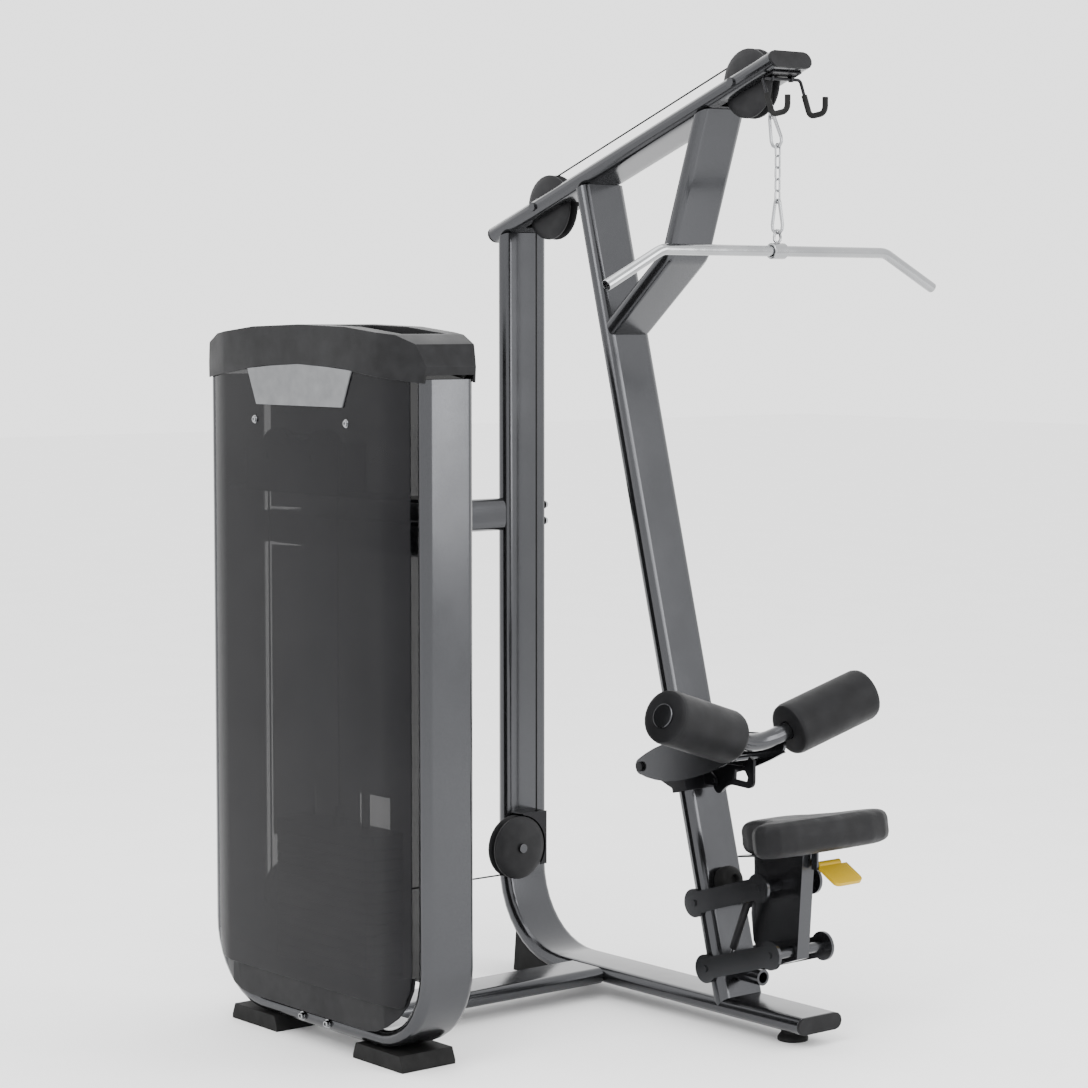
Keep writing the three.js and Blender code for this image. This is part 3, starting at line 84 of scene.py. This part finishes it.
# ---------- materials ----------
class Shader:
    """A Principled material with noise-driven colour, roughness and bump in object space."""

    def __init__(self, name, metallic=0.0, coat=0.0, coat_roughness=0.1, ior=1.22):
        self.material = bpy.data.materials.new(name)
        self.material.use_nodes = True
        self.tree = self.material.node_tree
        self.surface = self.tree.nodes["Principled BSDF"]
        self.surface.inputs["Metallic"].default_value = metallic
        self.surface.inputs["Coat Weight"].default_value = coat
        self.surface.inputs["Coat Roughness"].default_value = coat_roughness
        self.surface.inputs["IOR"].default_value = ior
        self.place = self.tree.nodes.new("ShaderNodeTexCoord").outputs["Object"]

    def noise(self, scale, detail=4.0, stretch=(1, 1, 1)):
        mapping = self.tree.nodes.new("ShaderNodeMapping")
        mapping.inputs["Scale"].default_value = stretch
        self.tree.links.new(self.place, mapping.inputs["Vector"])
        node = self.tree.nodes.new("ShaderNodeTexNoise")
        node.inputs["Scale"].default_value = scale
        node.inputs["Detail"].default_value = detail
        self.tree.links.new(mapping.outputs["Vector"], node.inputs["Vector"])
        return node.outputs["Fac"]

    def cells(self, scale):
        node = self.tree.nodes.new("ShaderNodeTexVoronoi")
        node.inputs["Scale"].default_value = scale
        self.tree.links.new(self.place, node.inputs["Vector"])
        return node.outputs["Distance"]

    def between(self, factor, low, high, start=0.3, end=0.7):
        """A number or colour that goes from low to high as the factor goes from start to end."""
        ramp = self.tree.nodes.new("ShaderNodeValToRGB")
        as_colour = [(v, v, v, 1) if isinstance(v, float) else (*v, 1) for v in (low, high)]
        for element, position, colour in zip(ramp.color_ramp.elements, (start, end), as_colour):
            element.position = position
            element.color = colour
        self.tree.links.new(factor, ramp.inputs["Fac"])
        return ramp.outputs["Color"]

    def colour(self, output):
        self.tree.links.new(output, self.surface.inputs["Base Color"])

    def roughness(self, output):
        self.tree.links.new(output, self.surface.inputs["Roughness"])

    def bump(self, *layers):
        """Each layer is (height output, strength, distance in metres)."""
        normal = None
        for height, strength, distance in layers:
            node = self.tree.nodes.new("ShaderNodeBump")
            node.inputs["Strength"].default_value = strength
            node.inputs["Distance"].default_value = distance
            self.tree.links.new(height, node.inputs["Height"])
            if normal:
                self.tree.links.new(normal, node.inputs["Normal"])
            normal = node.outputs["Normal"]
        self.tree.links.new(normal, self.surface.inputs["Normal"])


def paint(name, dark, light, rough, metallic=0.75, coat=0.12):
    """Metallic powder coat: fine flake, orange peel and a little handling haze."""
    shader = Shader(name, metallic, coat, coat_roughness=0.12)
    shader.colour(shader.between(shader.noise(900, 2), dark, light))
    shader.roughness(shader.between(shader.noise(7, 5), rough, rough + 0.09))
    shader.bump((shader.noise(260, 3), 0.10, 0.0004), (shader.noise(1500, 1), 0.05, 0.0001))
    return shader.material


def moulded(name, dark, light, rough, grain=700):
    """Grained plastic or rubber."""
    shader = Shader(name)
    shader.colour(shader.between(shader.noise(30, 5), dark, light))
    shader.roughness(shader.between(shader.noise(12, 4), rough, rough + 0.12))
    shader.bump((shader.cells(grain), 0.16, 0.0003), (shader.noise(60, 3), 0.05, 0.0005))
    return shader.material


def bright_metal(name, tint, rough, stretch=(1, 1, 1)):
    """Chrome plate or brushed steel, with faint wipe marks."""
    shader = Shader(name, metallic=1.0)
    shader.colour(shader.between(shader.noise(14, 5), tuple(0.88 * c for c in tint), tint))
    shader.roughness(shader.between(shader.noise(45, 5, stretch), rough, rough + 0.10))
    shader.bump((shader.noise(420, 3, stretch), 0.04, 0.0002))
    return shader.material


def upholstery(name):
    """Black vinyl with a fine pebble grain over soft unevenness."""
    shader = Shader(name)
    shader.surface.inputs["Sheen Weight"].default_value = 0.02
    shader.colour(shader.between(shader.noise(18, 5), (0.004, 0.004, 0.0045), (0.008, 0.008, 0.009)))
    shader.roughness(shader.between(shader.noise(25, 5), 0.44, 0.58))
    shader.bump(
        (shader.cells(650), 0.35, 0.0005),
        (shader.noise(1400, 2), 0.15, 0.0002),
        (shader.noise(9, 3), 0.20, 0.003),
    )
    return shader.material


def smoked_sheet(name):
    """Smoked acrylic: mostly dark and glossy, with the weights faintly visible behind it."""
    shader = Shader(name, coat=0.03, coat_roughness=0.05)
    shader.colour(shader.between(shader.noise(5, 3), (0.004, 0.004, 0.005), (0.007, 0.007, 0.008)))
    shader.roughness(shader.between(shader.noise(11, 6), 0.07, 0.14))
    shader.surface.inputs["Alpha"].default_value = 0.80
    return shader.material


def cast_plate(name):
    """Painted cast iron: slightly lumpy, with rubbed highs."""
    shader = Shader(name, metallic=0.3)
    shader.colour(shader.between(shader.noise(70, 6), (0.022, 0.022, 0.024), (0.055, 0.055, 0.058)))
    shader.roughness(shader.between(shader.noise(40, 5), 0.42, 0.62))
    shader.bump((shader.noise(180, 4), 0.30, 0.0008))
    return shader.material


LOOKS = {
    "gunmetal": paint("Gunmetal coat", (0.040, 0.041, 0.044), (0.062, 0.063, 0.067), 0.16, 0.9),
    "dark_paint": paint("Dark coat", (0.008, 0.008, 0.009), (0.015, 0.015, 0.017), 0.28),
    "yellow": paint("Yellow coat", (0.36, 0.23, 0.006), (0.43, 0.28, 0.010), 0.36, 0.0, 0.1),
    "smoked": smoked_sheet("Smoked sheet"),
    "black_plastic": moulded("Black plastic", (0.006, 0.006, 0.0065), (0.011, 0.011, 0.012), 0.38),
    "pulley": moulded("Pulley nylon", (0.010, 0.010, 0.011), (0.017, 0.017, 0.018), 0.42, 500),
    "rubber": moulded("Rubber", (0.006, 0.006, 0.006), (0.012, 0.012, 0.012), 0.62, 900),
    "chrome": bright_metal("Chrome", (0.30, 0.305, 0.312), 0.09),
    "steel": bright_metal("Zinc steel", (0.34, 0.345, 0.355), 0.26, (1, 1, 0.2)),
    "iron": cast_plate("Cast iron"),
    "vinyl": upholstery("Vinyl"),
}
badge_look = moulded("Blank badge", (0.11, 0.112, 0.116), (0.14, 0.143, 0.147), 0.30, 1200)

slots = {part["node"]: part["material_slot"] for part in frame["record"]["subparts"]}
EDGE_SOFTNESS = 0.0012
SMOOTH_ANGLE = radians(34)


def soften_edges(made):
    """Joins the faceted faces into smooth ones and rounds the sharp edges a little."""
    weld = made.modifiers.new("Weld", "WELD")
    weld.merge_threshold = 0.00002
    bevel = made.modifiers.new("Bevel", "BEVEL")
    bevel.width = EDGE_SOFTNESS
    bevel.segments = 2
    bevel.limit_method = "ANGLE"
    bevel.angle_limit = SMOOTH_ANGLE
    made.data.polygons.foreach_set("use_smooth", [True] * len(made.data.polygons))
    weighted = made.modifiers.new("Weighted normals", "WEIGHTED_NORMAL")
    weighted.keep_sharp = True


for name, node in nodes.items():
    node.data.materials.clear()
    node.data.materials.append(LOOKS[slots[name]])
    soften_edges(node)


# ---------- small fittings ----------
def piece(name, mesh_maker, look, body):
    mesh = bpy.data.meshes.new(name)
    shape = bmesh.new()
    mesh_maker(shape)
    bmesh.ops.recalc_face_normals(shape, faces=shape.faces)
    shape.to_mesh(mesh)
    shape.free()
    made = bpy.data.objects.new(name, mesh)
    bpy.context.scene.collection.objects.link(made)
    mesh.materials.append(look)
    if body:
        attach(made, body)
    return made


def turned_along(axis, centre, profile, sides=32):
    """Fills a bmesh with a closed turned shape: the profile is (distance along the axis, radius)."""
    spin = Vector((0, 0, 1)).rotation_difference(Vector(axis)).to_matrix()

    def fill(shape):
        rings = []
        for along, radius in profile:
            ring = []
            for i in range(sides):
                turn = tau * i / sides
                point = spin @ Vector((radius * cos(turn), radius * sin(turn), along))
                ring.append(shape.verts.new(centre + point))
            rings.append(ring)
        for lower, upper in zip(rings, rings[1:]):
            for i in range(sides):
                j = (i + 1) % sides
                shape.faces.new((lower[i], lower[j], upper[j], upper[i]))
        shape.faces.new(rings[0][::-1])
        shape.faces.new(rings[-1])

    return fill


def bolt_profile(radius, height):
    """A washer under a cap head with a hollow socket."""
    return [
        (0, radius * 1.35),
        (height * 0.25, radius * 1.35),
        (height * 0.26, radius),
        (height * 0.9, radius),
        (height, radius * 0.88),
        (height, radius * 0.5),
        (height * 0.55, radius * 0.46),
    ]


def bolt(name, centre, axis, radius=0.008, height=0.009):
    piece(name, turned_along(axis, centre, bolt_profile(radius, height)), LOOKS["chrome"],
          "frame")


SURFACE_GAP = 0.0005            # clearance under a fitting that lies on a surface
TOWARDS_FRONT = (0, -1, 0)
TOWARDS_BACK = (0, 1, 0)
SIDES = (("left", -1), ("right", 1))

SHIELD_SCREW_REACH = 0.180      # from the shield's middle
SHIELD_SCREW_Z = 1.432
shield_low, shield_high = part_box("tower_front_shield")
shield_front = shield_low.y
shield_middle = (shield_low.x + shield_high.x) / 2
for label, side in SIDES:
    place = Vector((shield_middle + side * SHIELD_SCREW_REACH, shield_front, SHIELD_SCREW_Z))
    bolt(f"shield_screw_{label}", place, TOWARDS_FRONT, 0.007, 0.005)

BASE_BOLT_REACH = 0.050
BASE_BOLT_Z = 0.058             # the middle of the tower's bottom tube
tower_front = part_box("tower_frame_tube")[0].y
for label, side in SIDES:
    place = Vector((shield_middle + side * BASE_BOLT_REACH, tower_front - SURFACE_GAP, BASE_BOLT_Z))
    bolt(f"tower_base_bolt_{label}", place, TOWARDS_FRONT)

COLUMN_X = -0.683
COLUMN_BOLT_HEIGHTS = (("upper", 1.187), ("lower", 1.146))
column_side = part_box("column_and_base_tube")[1].y - ORIGIN.y
for label, height in COLUMN_BOLT_HEIGHTS:
    bolt(f"column_bolt_{label}", at(COLUMN_X, column_side + SURFACE_GAP, height), TOWARDS_BACK)

BADGE_T = 0.004
# (distance from the shield's middle, height) of the badge's corners; its top edge is bowed.
badge_outline = [
    (-0.169, 1.467), (0.169, 1.467), (0.205, 1.549), (0.11, 1.556), (0.0, 1.561),
    (-0.11, 1.556), (-0.205, 1.549),
]


def badge_shape(shape):
    front = []
    back = []
    for x, z in badge_outline:
        near = shield_front - SURFACE_GAP
        front.append(shape.verts.new((shield_middle + x, near - BADGE_T, z)))
        back.append(shape.verts.new((shield_middle + x, near, z)))
    shape.faces.new(front)
    shape.faces.new(back[::-1])
    for i in range(len(front)):
        j = (i + 1) % len(front)
        shape.faces.new((front[i], back[i], back[j], front[j]))


badge = piece("blank_badge", badge_shape, badge_look, "frame")
badge_edge = badge.modifiers.new("Bevel", "BEVEL")
badge_edge.width = 0.001
badge_edge.segments = 2


# ---------- cable runs that change length with the slides ----------
RUN_STEPS = 24


def free_run(node, name):
    """The upright run from a fixed pulley above to a moving piece below."""
    low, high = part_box(node)
    foot = Vector(((low.x + high.x) / 2, (low.y + high.y) / 2, low.z))
    radius = (high.x - low.x) / 2
    profile = [((high.z - low.z) * i / RUN_STEPS, radius) for i in range(RUN_STEPS + 1)]
    made = piece(name, turned_along((0, 0, 1), foot, profile, 12), LOOKS["rubber"], None)
    made.data.polygons.foreach_set("use_smooth", [True] * len(made.data.polygons))
    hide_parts(node)
    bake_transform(made)


free_run("cable_bar_run", "bar_cable_run")
free_run("cable_stack_run", "stack_cable_run")


# ---------- upholstery ----------
PUFF_LIMIT = 0.003              # how far the cloth step may move a point
PUFF_PRESSURE = 4.0
PUFF_STIFFNESS = 40
PUFF_FRAMES = 20
SKIN_VOXEL = 0.005


def puff(made):
    """Remeshes a solid as one skin and swells it a little by cloth pressure."""
    remesh = made.modifiers.new("Remesh", "REMESH")
    remesh.mode = "VOXEL"
    remesh.voxel_size = SKIN_VOXEL
    bpy.ops.object.modifier_apply(modifier=remesh.name)
    rest = [vertex.co.copy() for vertex in made.data.vertices]
    cloth = made.modifiers.new("Cloth", "CLOTH")
    cloth.settings.use_pressure = True
    cloth.settings.uniform_pressure_force = PUFF_PRESSURE
    cloth.settings.effector_weights.gravity = 0.0
    cloth.settings.quality = 4
    cloth.settings.tension_stiffness = PUFF_STIFFNESS
    cloth.settings.compression_stiffness = PUFF_STIFFNESS
    cloth.settings.bending_stiffness = 4
    cloth.point_cache.frame_start = 1
    cloth.point_cache.frame_end = PUFF_FRAMES
    for step in range(1, PUFF_FRAMES + 1):
        bpy.context.scene.frame_set(step)
    bpy.ops.object.modifier_apply(modifier=cloth.name)
    for vertex, start in zip(made.data.vertices, rest):
        shift = vertex.co - start
        if shift.length > PUFF_LIMIT:
            vertex.co = start + shift.normalized() * PUFF_LIMIT
    bpy.context.scene.frame_set(1)
    smooth = made.modifiers.new("Subdivision", "SUBSURF")
    smooth.levels = 1
    smooth.render_levels = 1
    made.data.polygons.foreach_set("use_smooth", [True] * len(made.data.polygons))


def soft_copy(node, name, body, finish_shape):
    """A vinyl-covered piece with the node's shape, finished by the function given."""
    made = bpy.data.objects.new(name, nodes[node].data.copy())
    bpy.context.scene.collection.objects.link(made)
    for other in bpy.context.selected_objects:
        other.select_set(False)
    made.select_set(True)
    bpy.context.view_layer.objects.active = made
    finish_shape(made)
    made.data.materials.clear()
    made.data.materials.append(LOOKS["vinyl"])
    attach(made, body)
    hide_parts(node)


soft_copy("seat_cushion", "seat_upholstery", "seat", puff)
for side in ("left", "right"):
    soft_copy(f"thigh_roller_{side}", f"roller_foam_{side}", f"roller_{side}", soften_edges)

# ---------- floor, light and camera ----------
bpy.ops.mesh.primitive_plane_add(size=60)
floor = bpy.context.object
floor.name = "floor"
floor_look = Shader("Pale floor")
floor_look.colour(floor_look.between(floor_look.noise(3, 3), (0.93, 0.93, 0.93), (0.95, 0.95, 0.95)))
floor_look.roughness(floor_look.between(floor_look.noise(8, 3), 0.75, 0.85))
floor.data.materials.append(floor_look.material)

world = bpy.data.worlds.new("Studio")
world.use_nodes = True
world.node_tree.nodes["Background"].inputs["Color"].default_value = (1, 1, 1, 1)
world.node_tree.nodes["Background"].inputs["Strength"].default_value = 2.3
bpy.context.scene.world = world


def soft_light(name, place, target, size, power):
    light = bpy.data.lights.new(name, "AREA")
    light.shape = "RECTANGLE"
    light.size, light.size_y = size
    light.energy = power
    made = bpy.data.objects.new(name, light)
    made.location = place
    made.rotation_euler = (target - place).to_track_quat("-Z", "Y").to_euler()
    bpy.context.scene.collection.objects.link(made)


MIDDLE = (CAD_LOW + CAD_HIGH) / 2
soft_light("key", MIDDLE + Vector((1.5, -3.5, 3.2)), MIDDLE, (2.2, 3.0), 150)
soft_light("side", MIDDLE + Vector((3.8, 2.2, 1.2)), MIDDLE, (1.2, 3.2), 90)
soft_light("top", MIDDLE + Vector((0.0, 0.0, 4.2)), MIDDLE, (3.0, 3.0), 80)

# The photographer stands off the user's end, at eye height, and looks slightly down.
VIEW_TURN = radians(50.7)
VIEW_DROP = radians(4.49)
EYE = at(5.126, -4.684, 1.675)
LENS_MM = 97.3
camera_data = bpy.data.cameras.new("photo camera")
camera_data.sensor_width = 36
camera_data.lens = LENS_MM
camera = bpy.data.objects.new("photo camera", camera_data)
camera.location = EYE
camera.rotation_euler = (radians(90) - VIEW_DROP, 0, VIEW_TURN)
bpy.context.scene.collection.objects.link(camera)
bpy.context.scene.camera = camera
